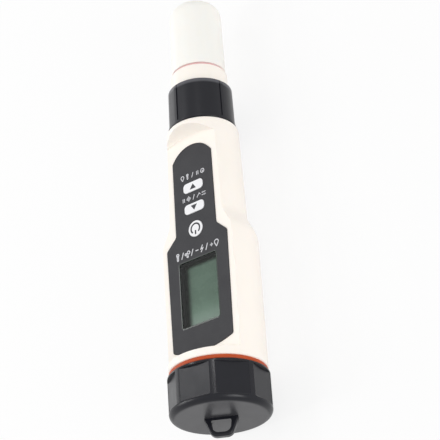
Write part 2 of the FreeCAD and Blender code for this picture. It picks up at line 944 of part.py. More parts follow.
def sheath_profile(inset, rear):
    """Half section of the protective cap's outside, or of its inside when inset by the wall."""
    front = sheath_front - inset
    return [
        (rear, 0, 0),
        (rear, sheath_mouth_radius - inset, 0),
        (front - sheath_bulge, sheath_front_radius - inset, sheath_corner - inset),
        (front, 0, 0),
    ]


def make_protective_cap():
    outside = turned(sheath_profile(0, sheath_rear))
    inside = turned(sheath_profile(sheath_wall, sheath_rear))
    return outside.cut(inside)


def make_sponge():
    front = sheath_front - sheath_wall - sheath_bulge
    rear = front - sponge_thickness
    radius = sheath_front_radius - sheath_wall - sponge_clearance
    return turned([
        (rear, 0, 0),
        (rear, radius, 0),
        (front - sponge_chamfer, radius, 0),
        (front, radius - sponge_chamfer, 0),
        (front, 0, 0),
    ])


def all_parts():
    parts = {
        "housing": make_housing(),
        "front_panel": make_panel(),
        "display_window": make_window_pane(),
        "display_bezel": make_bezel(),
        "display_cell": make_display(),
        "connector_strips": make_connector_strips(),
        "circuit_board": make_board(),
        "board_chips": make_chips(),
        "board_screws": make_screws(),
        "inner_frame": make_inner_frame(),
        "battery_tube": make_battery_tube(),
        "tube_terminal": make_tube_terminal(),
        "seal_ring": make_seal_ring(),
        "battery_cap": make_battery_cap(),
        "contact_disc": make_contact_disc(),
        "contact_spring": make_contact_spring(),
        "coupling_nut": make_nut(),
        "probe_socket": make_probe_socket(),
        "probe_housing": make_probe_housing(),
        "probe_collar": make_probe_collar(),
        "probe_o_ring": make_probe_o_ring(),
        "pin_carrier": make_pin_carrier(),
        "contact_pins": make_contact_pins(),
        "glass_electrode": make_glass_electrode(),
        "redox_electrode": domed_pin(redox_radius, guard_front - redox_recess, 0),
        "temperature_sensor": domed_pin(thermometer_radius, guard_front - thermometer_recess, 1),
        "reference_junction": domed_pin(junction_radius, partition_front + junction_proud, 2),
        "cap_gasket": make_gasket(),
        "protective_cap": make_protective_cap(),
        "storage_sponge": make_sponge(),
    }
    for name in key_stations:
        parts[name + "_key"] = make_key(name)
        parts[name + "_plunger"] = make_plunger(name)
        parts[name + "_switch"] = make_switch(name)
    for index in range(cell_count):
        parts["button_cell_" + str(index + 1)] = make_cell(index)
    return parts


os.makedirs("parts", exist_ok=True)
for node, shape in all_parts().items():
    shape.exportStep(os.path.join("parts", node + ".step"))
    print(node, len(shape.Solids), round(shape.Volume, 1), shape.isValid())
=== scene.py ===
# %% [markdown]
# # Water quality test pen
# The pen lies on its back on a pale table, with its display up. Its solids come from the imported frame, in
# metres, with +Y along the pen towards the probe and +Z out of the display. The frame gives the shapes and
# the joints. The cells below give each solid its finish and add what is printed, cut or moulded in small.

import json
from math import pi, radians

import bpy
import numpy as np
from mathutils import Matrix, Vector


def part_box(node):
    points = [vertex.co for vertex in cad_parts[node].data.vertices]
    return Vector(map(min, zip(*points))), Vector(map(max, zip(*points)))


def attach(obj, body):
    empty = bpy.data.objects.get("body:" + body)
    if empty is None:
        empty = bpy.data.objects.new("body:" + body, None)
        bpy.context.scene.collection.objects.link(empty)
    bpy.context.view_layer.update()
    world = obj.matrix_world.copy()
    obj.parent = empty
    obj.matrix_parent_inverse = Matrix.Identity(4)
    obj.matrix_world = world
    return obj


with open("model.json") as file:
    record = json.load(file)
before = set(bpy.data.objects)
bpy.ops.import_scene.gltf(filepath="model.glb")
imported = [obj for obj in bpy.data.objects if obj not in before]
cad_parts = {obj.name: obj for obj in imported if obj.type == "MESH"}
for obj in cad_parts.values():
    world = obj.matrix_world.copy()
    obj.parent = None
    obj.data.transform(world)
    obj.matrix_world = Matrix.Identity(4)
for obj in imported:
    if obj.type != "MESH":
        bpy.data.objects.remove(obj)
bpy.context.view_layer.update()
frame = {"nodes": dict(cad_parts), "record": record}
nodes = frame["nodes"]
mm = 0.001

# %% [markdown]
# The camera repeats the photograph. It looks from above the battery end and from the pen's right, through a
# long lens, which keeps the perspective small. It is rolled about its own axis, so that the pen stands
# upright in the picture with its probe at the top.


# %% Camera
def aimed(place, target):
    """Matrix of a thing that stands at place and looks along its own -Z at target."""
    return Matrix.Translation(place) @ (target - place).to_track_quat("-Z", "Y").to_matrix().to_4x4()


camera_place = Vector((332.1, -293.7, 462.6)) * mm
camera_target = Vector((5.51, -7.10, 19.0)) * mm
camera_roll = radians(-61.92)
lens_length = 133.03
sensor_width = 36
camera_data = bpy.data.cameras.new("camera")
camera_data.lens = lens_length
camera_data.sensor_width = sensor_width
camera_data.sensor_fit = "HORIZONTAL"
camera_data.clip_end = 50
camera = bpy.data.objects.new("camera", camera_data)
bpy.context.scene.collection.objects.link(camera)
camera.matrix_world = aimed(camera_place, camera_target) @ Matrix.Rotation(camera_roll, 4, "Z")
bpy.context.scene.camera = camera
print("the camera stands", round((camera_target - camera_place).length / mm), "mm from the pen")

# %% [markdown]
# A screen colour such as #F7F1E8 is not the amount of light it stands for, because screens store it along a
# curve. Shaders want the amount of light, so one function turns the written colour into it.


# %% Colours
def linear(code):
    """Each channel c becomes c / 12.92 up to 0.04045, and ((c + 0.055) / 1.055) to the power 2.4 above."""
    channels = [int(code[i:i + 2], 16) / 255 for i in (1, 3, 5)]
    return [c / 12.92 if c <= 0.04045 else ((c + 0.055) / 1.055) ** 2.4 for c in channels] + [1.0]


print("the grey #808080 gives", round(linear("#808080")[0], 3), "of white's light")

# %% [markdown]
# Materials are small networks of nodes. One function adds a node with its settings and its incoming links.
# Two more lay down the patterns that nearly every moulded or printed skin here needs: a fine relief, and a
# slow change of colour or of roughness over the surface. Both start from a noise whose features have a real
# size, in millimetres. Most of that noise lies between 0.3 and 0.7, which is what a roughness is spread
# over.


# %% Nodes and patterns
def add(tree, kind, settings=(), links=()):
    """New node; settings name its attributes or inputs, and links are (node, output, input)."""
    node = tree.nodes.new(kind)
    for name, value in dict(settings).items():
        if isinstance(name, int) or name in node.inputs:
            node.inputs[name].default_value = value
        else:
            setattr(node, name, value)
    for source, output, target in links:
        tree.links.new(source.outputs[output], node.inputs[target])
    return node


def patches(tree, width, stretch, detail):
    """Noise over the object's own coordinates, with features width mm across."""
    place = add(tree, "ShaderNodeTexCoord")
    scaled = add(tree, "ShaderNodeMapping", {"Scale": stretch}, [(place, "Object", "Vector")])
    settings = {"Scale": 1 / (width * mm), "Detail": detail}
    return add(tree, "ShaderNodeTexNoise", settings, [(scaled, 0, "Vector")])


def relief(tree, shader, width, depth, strength=0.5, stretch=(1, 1, 1), detail=2.0):
    """Bump of depth mm from a noise with features width mm across."""
    noise = patches(tree, width, stretch, detail)
    settings = {"Strength": strength, "Distance": depth * mm}
    bump = add(tree, "ShaderNodeBump", settings, [(noise, 0, "Height")])
    tree.links.new(bump.outputs[0], shader.inputs["Normal"])


def drift(tree, shader, width, low, high, target="Base Color", stretch=(1, 1, 1), detail=3.0):
    """Slow change between two colours, or two values, over patches about width mm across."""
    noise = patches(tree, width, stretch, detail)
    if target == "Base Color":
        colours = {"data_type": "RGBA", 6: linear(low), 7: linear(high)}
        mix = add(tree, "ShaderNodeMix", colours, [(noise, 0, 0)])
        tree.links.new(mix.outputs[2], shader.inputs[target])
        return mix
    span = {"From Min": 0.3, "From Max": 0.7, "To Min": low, "To Max": high}
    spread = add(tree, "ShaderNodeMapRange", span, [(noise, 0, "Value")])
    tree.links.new(spread.outputs[0], shader.inputs[target])
    return spread


def material(name, settings):
    """Material with a Principled shader whose own sockets hold what is the same all over."""
    made = bpy.data.materials.new(name)
    made.use_nodes = True
    shader = made.node_tree.nodes["Principled BSDF"]
    for key, value in settings.items():
        shader.inputs[key].default_value = value
    print("material", name)
    return made, made.node_tree, shader


finishes = {}

# %% [markdown]
# The housing and the probe are moulded in warm white ABS. Their mould is polished, so the skin is smooth,
# with the faint waviness that a polished mould leaves and a soft gloss. A little light goes into the plastic
# and comes out again beside where it went in, which softens the edge of every shade.

# %% White ABS
white_abs, tree, shader = material("polished warm white ABS", {
    "IOR": 1.53,
    "Specular IOR Level": 0.4,
    "Subsurface Weight": 0.1,
    "Subsurface Radius": (0.004, 0.003, 0.0022),
    "Subsurface Scale": 0.5,
})
relief(tree, shader, 2.5, 0.01, 0.3)
drift(tree, shader, 20, "#FCF4EB", "#FEF7EF")
drift(tree, shader, 9, 0.32, 0.40, "Roughness")
finishes["white_shell"] = white_abs
finishes["probe_white"] = white_abs

# %% [markdown]
# The panel is a sheet of polyester film, screen printed on its back in dark grey. Its face is matt, with a
# fine grain that breaks up reflections. The print shows as a speckle. The real one is about 0.1 mm wide, and
# is drawn four times coarser here, because it would not show at this distance.

# %% Printed film
printed_film, tree, shader = material("matt printed polyester film", {"IOR": 1.5, "Specular IOR Level": 0.3})
relief(tree, shader, 0.4, 0.012, 0.5)
drift(tree, shader, 0.42, "#2D2D30", "#38383B")
drift(tree, shader, 6, 0.50, 0.62, "Roughness")
finishes["dark_panel"] = printed_film

# %% [markdown]
# The battery cap and the coupling nut are black ABS from a spark-eroded mould. That leaves a satin skin:
# nearly black where it is looked at squarely, and grey where it is looked at along the surface. The cap's
# end is painted greyer than its sides, a painted reflection of the light that falls on it. That is told from
# the normal, which points along -Y there. The nut's front rim is painted grey over the last millimetre or
# two, a painted highlight where the rim catches the light. Fingers polish the ribs between the cap's flats,
# which are what lies farthest from the pen's axis.

# %% Black ABS
axis_height = 19 * mm
rim_highlight_width = 2.4 * mm
rib_radius = 18.95 * mm
rib_roughness = 0.18
side_normal = -0.93
end_normal = -0.99
black_abs, tree, shader = material("satin black ABS", {"IOR": 1.53, "Specular IOR Level": 0.28})
relief(tree, shader, 0.3, 0.006, 0.4, detail=3.0)
sides = drift(tree, shader, 4, "#0E0F16", "#14151D")
satin = drift(tree, shader, 6, 0.28, 0.34, "Roughness")
place = add(tree, "ShaderNodeTexCoord")
normal = add(tree, "ShaderNodeSeparateXYZ", (), [(place, "Normal", 0)])
# Painted reflection: the cap's end, told by its normal along -Y, is painted greyer than the sides.
span = {"From Min": side_normal, "From Max": end_normal}
is_end = add(tree, "ShaderNodeMapRange", span, [(normal, 1, "Value")])
painted_end_grey = {"data_type": "RGBA", 7: linear("#3C3C3F")}
lit_end_mix = add(tree, "ShaderNodeMix", painted_end_grey, [(is_end, 0, 0), (sides, 2, 6)])
along = add(tree, "ShaderNodeSeparateXYZ", (), [(place, "Object", 0)])
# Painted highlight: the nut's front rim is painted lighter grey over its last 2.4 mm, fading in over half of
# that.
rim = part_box("coupling_nut")[1].y
span = {"From Min": rim - rim_highlight_width, "From Max": rim - rim_highlight_width / 2, "interpolation_type": "SMOOTHSTEP"}
in_rim_highlight = add(tree, "ShaderNodeMapRange", span, [(along, 1, "Value")])
painted_rim_grey = {"data_type": "RGBA", 7: linear("#55555A")}
rim_highlight_mix = add(tree, "ShaderNodeMix", painted_rim_grey, [(in_rim_highlight, 0, 0), (lit_end_mix, 2, 6)])
tree.links.new(rim_highlight_mix.outputs[2], shader.inputs["Base Color"])
onto_axis = {"Location": (0, 0, -axis_height), "Scale": (1, 0, 1)}
from_axis = add(tree, "ShaderNodeMapping", onto_axis, [(place, "Object", "Vector")])
away = add(tree, "ShaderNodeVectorMath", {"operation": "LENGTH"}, [(from_axis, 0, 0)])
is_rib = add(tree, "ShaderNodeMath", {"operation": "GREATER_THAN", 1: rib_radius}, [(away, "Value", 0)])
polish = add(tree, "ShaderNodeMix", {"data_type": "FLOAT", 3: rib_roughness}, [(is_rib, 0, 0), (satin, 0, 2)])
tree.links.new(polish.outputs[0], shader.inputs["Roughness"])
finishes["black_shell"] = black_abs

# %% [markdown]
# The ring between the housing and the battery cap is orange silicone rubber, and the ring in front of the
# collar is a dusty red one. Silicone is matt and lets a little light in, so its colour looks deep, with no
# sharp shine.

# %% Silicone rings
orange_silicone, tree, shader = material("orange silicone rubber", {
    "IOR": 1.41,
    "Subsurface Weight": 0.15,
    "Subsurface Radius": (0.002, 0.0007, 0.0003),
    "Subsurface Scale": 0.5,
})
relief(tree, shader, 0.5, 0.01, 0.4)
drift(tree, shader, 5, "#B2420F", "#BF4E17")
drift(tree, shader, 2, 0.42, 0.55, "Roughness")
finishes["orange_rubber"] = orange_silicone

red_silicone, tree, shader = material("dusty red silicone rubber", {"IOR": 1.41})
relief(tree, shader, 0.5, 0.01, 0.4)
drift(tree, shader, 5, "#E0A9AB", "#EBB9B9")
drift(tree, shader, 2, 0.48, 0.6, "Roughness")
finishes["red_rubber"] = red_silicone

# %% [markdown]
# The protective cap is drawn in natural polyethylene, a milky waxy plastic. Light goes well into it, so it
# has no deep shade anywhere and its rim glows a little.

# %% Milky polyethylene
polyethylene, tree, shader = material("milky polyethylene", {
    "IOR": 1.51,
    "Specular IOR Level": 0.4,
    "Subsurface Weight": 0.4,
    "Subsurface Radius": (0.006, 0.0052, 0.0046),
    "Subsurface Scale": 0.3,
})
relief(tree, shader, 1.8, 0.01, 0.3)
drift(tree, shader, 14, "#FDF9F0", "#FEFBF3")
drift(tree, shader, 8, 0.34, 0.44, "Roughness")
finishes["cap_white"] = polyethylene

# %% [markdown]
# Under the window lies the liquid crystal cell: glass over a polarising film over a reflector. While the pen
# is off it looks grey-green. Its colour is painted paler and greyer towards the battery cap and darker
# towards the front. That is a painted reflection, as the cell throws back more light where it is seen at a
# lower angle. Near its rim it carries painted shade, the shadow of the window's wall and edge, so the colour
# is darkened by how near a place is to the sides and the ends. The painted shade is centred a little off the
# window's middle, so it is broader on the left and at the front, as a painted shadow of the lamp on the left.

# %% Liquid crystal cell
crystal_cell, tree, shader = material("grey-green liquid crystal cell", {
    "IOR": 1.5,
    "Specular IOR Level": 0.2,
})
glow = drift(tree, shader, 12, "#899B91", "#91A298")
drift(tree, shader, 5, 0.22, 0.32, "Roughness")
low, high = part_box("display_window")
middle = (low + high) / 2
reach = (high - low) / 2
# Painted shade along the sides and ends, shifted so that it is broader on the left and at the front.
shade_shift = Vector((0.9, -0.8, 0)) * mm
side_shade = (0.5 * mm, 3.1 * mm)
end_shade = (0.2 * mm, 2.2 * mm)
deepest_shade = 0.03
front_share = 0.53
sheen_from = -0.2
place = add(tree, "ShaderNodeTexCoord")
centred = add(tree, "ShaderNodeMapping", {"Location": -middle - shade_shift}, [(place, "Object", "Vector")])
across = add(tree, "ShaderNodeSeparateXYZ", (), [(centred, 0, 0)])
soft = {"interpolation_type": "SMOOTHSTEP"}
darker = {"To Min": 1.0, "To Max": deepest_shade} | soft
shade = []
for axis, edge, (dark_until, clear_from) in ((0, reach.x, side_shade), (1, reach.y, end_shade)):
    away = add(tree, "ShaderNodeMath", {"operation": "ABSOLUTE"}, [(across, axis, 0)])
    span = {"From Min": edge - clear_from, "From Max": edge - dark_until}
    shade.append(add(tree, "ShaderNodeMapRange", span | darker, [(away, 0, "Value")]))
both = add(tree, "ShaderNodeMath", {"operation": "MULTIPLY"}, [(shade[0], 0, 0), (shade[1], 0, 1)])
# Painted reflection: the cell is painted darker towards the front, and paler and greyer towards the battery
# cap.
span = {"From Min": -reach.y, "From Max": 0, "To Min": 1.0, "To Max": front_share}
along = add(tree, "ShaderNodeMapRange", span | soft, [(across, 1, "Value")])
lit = add(tree, "ShaderNodeMath", {"operation": "MULTIPLY"}, [(both, 0, 0), (along, 0, 1)])
span = {"From Min": sheen_from * reach.y, "From Max": -reach.y}
paling_mask = add(tree, "ShaderNodeMapRange", span | soft, [(across, 1, "Value")])
painted_pale_sheen = {"data_type": "RGBA", 7: linear("#A8ACAB")}
paler = add(tree, "ShaderNodeMix", painted_pale_sheen, [(paling_mask, 0, 0), (glow, 2, 6)])
dim = add(tree, "ShaderNodeMix", {"data_type": "RGBA", 6: linear("#0E1210")}, [(lit, 0, 0), (paler, 2, 7)])
tree.links.new(dim.outputs[2], shader.inputs["Base Color"])
finishes["display_glass"] = crystal_cell

# %% [markdown]
# The window is a flat pane of clear acrylic. Both its faces are parallel, so light goes straight through and
# only a few percent is thrown back, more at a low angle. A see-through shader mixed with a mirror by the
# Fresnel rule does the same, and lets the lamps reach the display as they do through a real pane. The rule
# is kept to the outer side of each face, because light that doesn't bend would be trapped on the inner side.

# %% Acrylic pane
clear_acrylic, tree, mirror = material("clear acrylic pane", {"Metallic": 1.0, "Base Color": (1, 1, 1, 1)})
drift(tree, mirror, 8, 0.04, 0.08, "Roughness")
through = add(tree, "ShaderNodeBsdfTransparent", {"Color": linear("#F2F8F4")})
thrown_back = add(tree, "ShaderNodeFresnel", {"IOR": 1.36})
side = add(tree, "ShaderNodeNewGeometry")
outer = add(tree, "ShaderNodeMath", {"operation": "SUBTRACT", 0: 1.0}, [(side, "Backfacing", 1)])
share = add(tree, "ShaderNodeMath", {"operation": "MULTIPLY"}, [(thrown_back, 0, 0), (outer, 0, 1)])
both = add(tree, "ShaderNodeMixShader", (), [(share, 0, 0), (through, 0, 1), (mirror, 0, 2)])
tree.links.new(both.outputs[0], tree.nodes["Material Output"].inputs["Surface"])
finishes["clear_window"] = clear_acrylic

# %% [markdown]
# The keys are moulded in white silicone rubber, matt and a little cooler than the housing. The plungers
# under them are black nitrile rubber, and so is the O-ring on the probe.

# %% Rubber keys
key_rubber, tree, shader = material("matt white silicone rubber", {"IOR": 1.43, "Specular IOR Level": 0.35})
relief(tree, shader, 0.3, 0.008, 0.4)
drift(tree, shader, 3, "#ECECEE", "#F3F3F5")
drift(tree, shader, 2, 0.5, 0.62, "Roughness")
finishes["white_key"] = key_rubber

nitrile, tree, shader = material("black nitrile rubber", {"IOR": 1.52})
relief(tree, shader, 0.3, 0.012, 0.5)
drift(tree, shader, 3, "#141414", "#1D1D1D")
drift(tree, shader, 2, 0.5, 0.68, "Roughness")
finishes["black_rubber"] = nitrile

# %% [markdown]
# Inside, the frame, the bezel and the switches are black ABS with a coarser, dull grain. The circuit board
# is glass fibre under green solder mask, and its weave shows through as a faint grid, 0.6 mm from thread to
# thread.

# %% Inner plastics and the board
dull_abs, tree, shader = material("dull black ABS", {"IOR": 1.53, "Specular IOR Level": 0.35})
relief(tree, shader, 0.3, 0.012, 0.5)
drift(tree, shader, 4, "#151517", "#1D1D20")
drift(tree, shader, 3, 0.5, 0.64, "Roughness")
finishes["black_inner"] = dull_abs

thread_spacing = 0.6 * mm
weave_depth = 0.02 * mm
solder_mask, tree, shader = material("green solder mask over woven glass", {"IOR": 1.5})
place = add(tree, "ShaderNodeTexCoord")
# At scale 1 a wave texture repeats every pi / 10.
waves = [
    add(tree, "ShaderNodeTexWave", {"bands_direction": way, "Scale": pi / (10 * thread_spacing)},
        [(place, "Object", "Vector")])
    for way in "XY"
]
weave = add(tree, "ShaderNodeMath", {"operation": "MULTIPLY"}, [(waves[0], "Fac", 0), (waves[1], "Fac", 1)])
bump = add(tree, "ShaderNodeBump", {"Strength": 0.4, "Distance": weave_depth}, [(weave, 0, "Height")])
tree.links.new(bump.outputs[0], shader.inputs["Normal"])
drift(tree, shader, 5, "#13522E", "#1C6539")
drift(tree, shader, 3, 0.3, 0.42, "Roughness")
finishes["green_board"] = solder_mask

# %% [markdown]
# The button cells, the screws and the contacts are metal. Drawing and turning leave fine lines along or
# round the part, which are a noise stretched forty times along the pen. Steel, gilt brass and platinum
# differ in the colour that they throw back.

# %% Metals
for slot, name, pale, dark in (
        ("steel", "drawn stainless steel", "#CFCDC9", "#BDBBB7"),
        ("gilt_brass", "gilt brass", "#E6C070", "#D6AB58"),
        ("platinum", "polished platinum", "#DAD6CE", "#C9C5BD")):
    metal, tree, shader = material(name, {"Metallic": 1.0})
    relief(tree, shader, 0.15, 0.004, 0.3, (1, 0.025, 1))
    drift(tree, shader, 0.6, dark, pale, stretch=(1, 0.1, 1))
    drift(tree, shader, 0.3, 0.2, 0.38, "Roughness", (1, 0.025, 1))
    finishes[slot] = metal

# %% [markdown]
# In the probe's end stand the sensors. The acidity sensor is blown glass, the reference junction is a plug
# of porous ceramic, and a foam sponge in the protective cap keeps them wet.

# %% Glass, ceramic and sponge
sensor_glass, tree, shader = material("blown electrode glass", {"IOR": 1.5, "Transmission Weight": 1.0})
drift(tree, shader, 6, "#E9F3F2", "#F3F9F8")
drift(tree, shader, 3, 0.01, 0.04, "Roughness")
finishes["clear_glass"] = sensor_glass

ceramic, tree, shader = material("porous ceramic", {"IOR": 1.5, "Specular IOR Level": 0.2})
relief(tree, shader, 0.15, 0.05, 0.9)
drift(tree, shader, 0.5, "#CFC7B5", "#E9E3D5")
drift(tree, shader, 0.4, 0.75, 0.95, "Roughness")
finishes["ceramic"] = ceramic

pore_width = 0.7 * mm
pore_depth = 0.3 * mm
foam, tree, shader = material("open-celled cellulose foam", {"Roughness": 0.9, "IOR": 1.4})
place = add(tree, "ShaderNodeTexCoord")
pores = add(tree, "ShaderNodeTexVoronoi", {"Scale": 1 / pore_width}, [(place, "Object", "Vector")])
bump = add(tree, "ShaderNodeBump", {"Strength": 1.0, "Distance": pore_depth}, [(pores, "Distance", "Height")])
tree.links.new(bump.outputs[0], shader.inputs["Normal"])
drift(tree, shader, 2, "#E6DBBD", "#F3EBD6")
finishes["sponge"] = foam

# %% [markdown]
# Every solid in the frame names the slot that its finish belongs to, so one loop dresses them all.

# %% Dressing the solids
for part in frame["record"]["subparts"]:
    mesh = nodes[part["node"]].data
    mesh.materials.clear()
    mesh.materials.append(finishes[part["material_slot"]])

# %% [markdown]
# Everything added below is a section carried along a path: a stroke of ink, the bead round the window, a
# screw thread. The points make a grid, one row for each place on the path and one column for each corner of
# the section. One function joins neighbouring points into faces, and one more makes the object.


# %% Carrying a section along a path
def grid_faces(rows, columns, closed):
    """Face (i, j) joins rows i and i + 1 and columns j and j + 1, and the columns always run round."""
    i = np.arange(rows if closed else rows - 1)[:, None]
    j = np.arange(columns)[None, :]
    after = (i + 1) % rows
    beside = (j + 1) % columns
    corners = [i * columns + j, i * columns + beside, after * columns + beside, after * columns + j]
    faces = np.stack(np.broadcast_arrays(*corners), axis=-1).reshape(-1, 4).tolist()
    if not closed:
        faces.append(list(range(columns))[::-1])
        faces.append([(rows - 1) * columns + k for k in range(columns)])
    return faces


def joined(pieces):
    """One array of points and one list of faces from several."""
    starts = np.cumsum([0] + [len(points) for points, _ in pieces])
    faces = [[int(start) + k for k in face] for start, (_, part) in zip(starts, pieces) for face in part]
    return np.vstack([points for points, _ in pieces]), faces


def new_piece(name, points, faces, finish, body, slot, smooth=False):
    """Mesh object at the origin, with its place in its mesh, that rides on a body."""
    mesh = bpy.data.meshes.new(name)
    mesh.from_pydata(np.asarray(points).tolist(), [], faces)
    mesh.polygons.foreach_set("use_smooth", np.full(len(mesh.polygons), smooth))
    mesh.materials.append(finish)
    mesh.update()
    made = bpy.data.objects.new(name, mesh)
    bpy.context.scene.collection.objects.link(made)
    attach(made, body)
    print(name, "has", len(mesh.polygons), "faces")


def mitred(line, closed):
    """Normals of the stretches before and after each point, added, over one plus their dot product.

    That makes the normal longer at a corner, so that the stroke keeps its width.
    """
    ahead = np.roll(line, -1, axis=0) - line
    if not closed:
        ahead[-1] = ahead[-2]
    ahead /= np.linalg.norm(ahead, axis=1)[:, None]
    back = np.roll(ahead, 1, axis=0)
    if not closed:
        back[0] = ahead[0]
    normal = np.c_[-ahead[:, 1], ahead[:, 0]]
    before = np.c_[-back[:, 1], back[:, 0]]
    return (normal + before) / (1 + (normal * before).sum(axis=1))[:, None]


def flat_sweep(line, section, closed=False):
    """Point (i, j) is line point i, moved along its normal and up by section corner j."""
    line = np.asarray(line, float)
    section = np.asarray(section, float)
    side = mitred(line, closed)
    flat = line[:, None, :] + side[:, None, :] * section[None, :, :1]
    up = np.broadcast_to(section[None, :, 1:], (len(line), len(section), 1))
    points = np.concatenate([flat, up], axis=-1).reshape(-1, 3)
    return points, grid_faces(len(line), len(section), closed)


# %% [markdown]
# The signs are screen printed, and a screen lays down a thick film of ink. It stands 0.03 mm above the
# surface, so it is made as a very low solid instead of a patch of colour, and keeps a sharp edge from close
# by.

# %% Inks
dark_ink, tree, shader = material("dark screen ink", {"IOR": 1.5, "Specular IOR Level": 0.3})
relief(tree, shader, 0.3, 0.006, 0.4)
drift(tree, shader, 1.5, "#37373B", "#424247")
drift(tree, shader, 2, 0.5, 0.6, "Roughness")

pale_ink, tree, shader = material("pale screen ink", {"IOR": 1.5, "Specular IOR Level": 0.3})
relief(tree, shader, 0.3, 0.006, 0.4)
drift(tree, shader, 1.5, "#D0D0D4", "#DEDEE2")
drift(tree, shader, 2, 0.5, 0.6, "Roughness")
ink_height = 0.03 * mm


def ink_section(width, level):
    """Corners of a stroke's section, half the width to each side, from just under the surface to its top."""
    half = width / 2
    low, high = level - ink_height, level + ink_height
    return [(-half, low), (half, low), (half, high), (-half, high)]


def arc(centre, radius, start, end, count=24):
    """Centre plus radius times cosine and sine of angles in degrees, counted from +X towards +Y."""
    angle = np.radians(np.linspace(start, end, count))
    return np.c_[centre[0] + radius * np.cos(angle), centre[1] + radius * np.sin(angle)]


# %% [markdown]
# Two keys carry a solid triangle, one pointing towards the probe and one towards the battery cap. Each is a
# very low prism over three corners.

# %% Triangles on the keys
arrow_half_width = 1.5 * mm
arrow_length = 2.2 * mm


def triangle(centre, way, level):
    """Prism over three corners: bottom, top and three walls."""
    x = centre.x + np.array([-1, 1, 0]) * arrow_half_width * way
    y = centre.y + np.array([-0.5, -0.5, 0.5]) * arrow_length * way
    low = np.c_[x, y, np.full(3, level - ink_height)]
    high = np.c_[x, y, np.full(3, level + ink_height)]
    faces = [[2, 1, 0], [3, 4, 5], [0, 1, 4, 3], [1, 2, 5, 4], [2, 0, 3, 5]]
    return np.vstack([low, high]), faces


key_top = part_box("up_key")[1].z
for key, way in (("up_key", -1), ("down_key", 1)):
    low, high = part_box(key)
    new_piece(key + "_arrow", *triangle((low + high) / 2, way, key_top), dark_ink, key, "dark_panel")

# %% [markdown]
# The round key carries the sign for on and off: a ring that is open at one side, and a bar that stands in
# the opening.

# %% Sign on the power key
sign_radius = 2.05 * mm
sign_stroke = 0.65 * mm
sign_opening = 40
bar_start = 0.8 * mm
bar_end = 2.5 * mm
low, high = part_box("power_key")
centre = (low + high) / 2
section = ink_section(sign_stroke, high.z)
ring = flat_sweep(arc(centre, sign_radius, sign_opening - 90, 270 - sign_opening, 48), section)
bar = flat_sweep([(centre.x, centre.y - bar_start), (centre.x, centre.y - bar_end)], section)
new_piece("power_key_sign", *joined([ring, bar]), dark_ink, "power_key", "dark_panel")

# %% [markdown]
# Small signs stand beside the keys and over the display, and say what each measures or does. They are plain
# ones that any such instrument may have: a drop, a charge, plus and minus, bubbles and a thermometer for
# what it measures, and a clock, bars, sliders, a cross in a ring and a tick for what the keys do.

# %% Signs on the panel
thermometer = [
    np.vstack([arc((0, -0.32), 0.19, 120, 420, 16), arc((0, 0.36), 0.1, 0, 180, 8), [(-0.1, -0.15)]]),
    [(0, -0.34), (0, 0.16)],
]
drop = [np.vstack([arc((0, -0.14), 0.3, 155, 385, 18), [(0.02, 0.47)], [(-0.02, 0.47)], [(-0.27, -0.01)]])]
charge = [[(0.14, 0.48), (-0.18, -0.04), (0.16, 0.04), (-0.14, -0.48)]]
bubbles = [
    arc((-0.2, -0.18), 0.21, 0, 360, 16),
    arc((0.24, -0.02), 0.14, 0, 360, 12),
    arc((-0.02, 0.34), 0.12, 0, 360, 12),
]
slash = [[(-0.16, -0.44), (0.16, 0.44)]]
bars = [[(-0.15, -0.36), (-0.15, 0.36)], [(0.15, -0.36), (0.15, 0.36)]]
sliders = [
    [(-0.42, 0.26), (0.42, 0.26)], [(-0.18, 0.1), (-0.18, 0.42)],
    [(-0.42, -0.2), (0.42, -0.2)], [(0.16, -0.36), (0.16, -0.04)],
]
tick = [[(-0.38, 0.0), (-0.12, -0.3), (0.4, 0.36)]]
clock = [arc((0, 0), 0.36, 0, 360, 20), [(-0.19, 0.02), (0.02, 0.02), (0.02, 0.26)]]
target = [arc((0, 0), 0.3, 0, 360, 20), [(-0.5, 0), (0.5, 0)], [(0, -0.5), (0, 0.5)]]
minus = [[(-0.24, 0), (0.24, 0)]]
plus = minus + [[(0, -0.24), (0, 0.24)]]
panel_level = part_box("front_panel")[1].z
housing_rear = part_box("seal_ring")[1].y


def sign_strokes(lines, x, y, size, stroke):
    """Lines drawn in a unit square, its top towards the battery cap, as low solids of ink round (x, y)."""
    section = ink_section(stroke, panel_level)
    return [flat_sweep(np.array([x, y]) - np.asarray(line) * size, section) for line in lines]


# A row says how far it lies from the orange ring, its signs' size, pitch and stroke in mm, and its signs.
rows = (
    (79.9, 2.3, 2.45, 0.3, (clock, bars, slash, thermometer, drop)),
    (70.2, 2.3, 2.45, 0.3, (sliders, tick, slash, target, bars)),
    (47.3, 3.0, 2.33, 0.38, (drop, plus, slash, charge, minus, slash, bubbles, slash, thermometer)),
)
strokes = []
for station, size, pitch, stroke, signs in rows:
    for index, sign in enumerate(signs):
        x = ((len(signs) - 1) / 2 - index) * pitch * mm
        strokes += sign_strokes(sign, x, housing_rear + station * mm, size * mm, stroke * mm)
new_piece("panel_signs", *joined(strokes), pale_ink, "body", "white_key")

# %% [markdown]
# The acrylic pane stands a hair proud of the panel, and its edge is cut to a low polished bevel. A bevel
# this low mirrors a lamp to the viewer on one side of the window alone, as a thin pale line. It is a bead
# with a four-cornered section, carried round the pane's rounded outline.

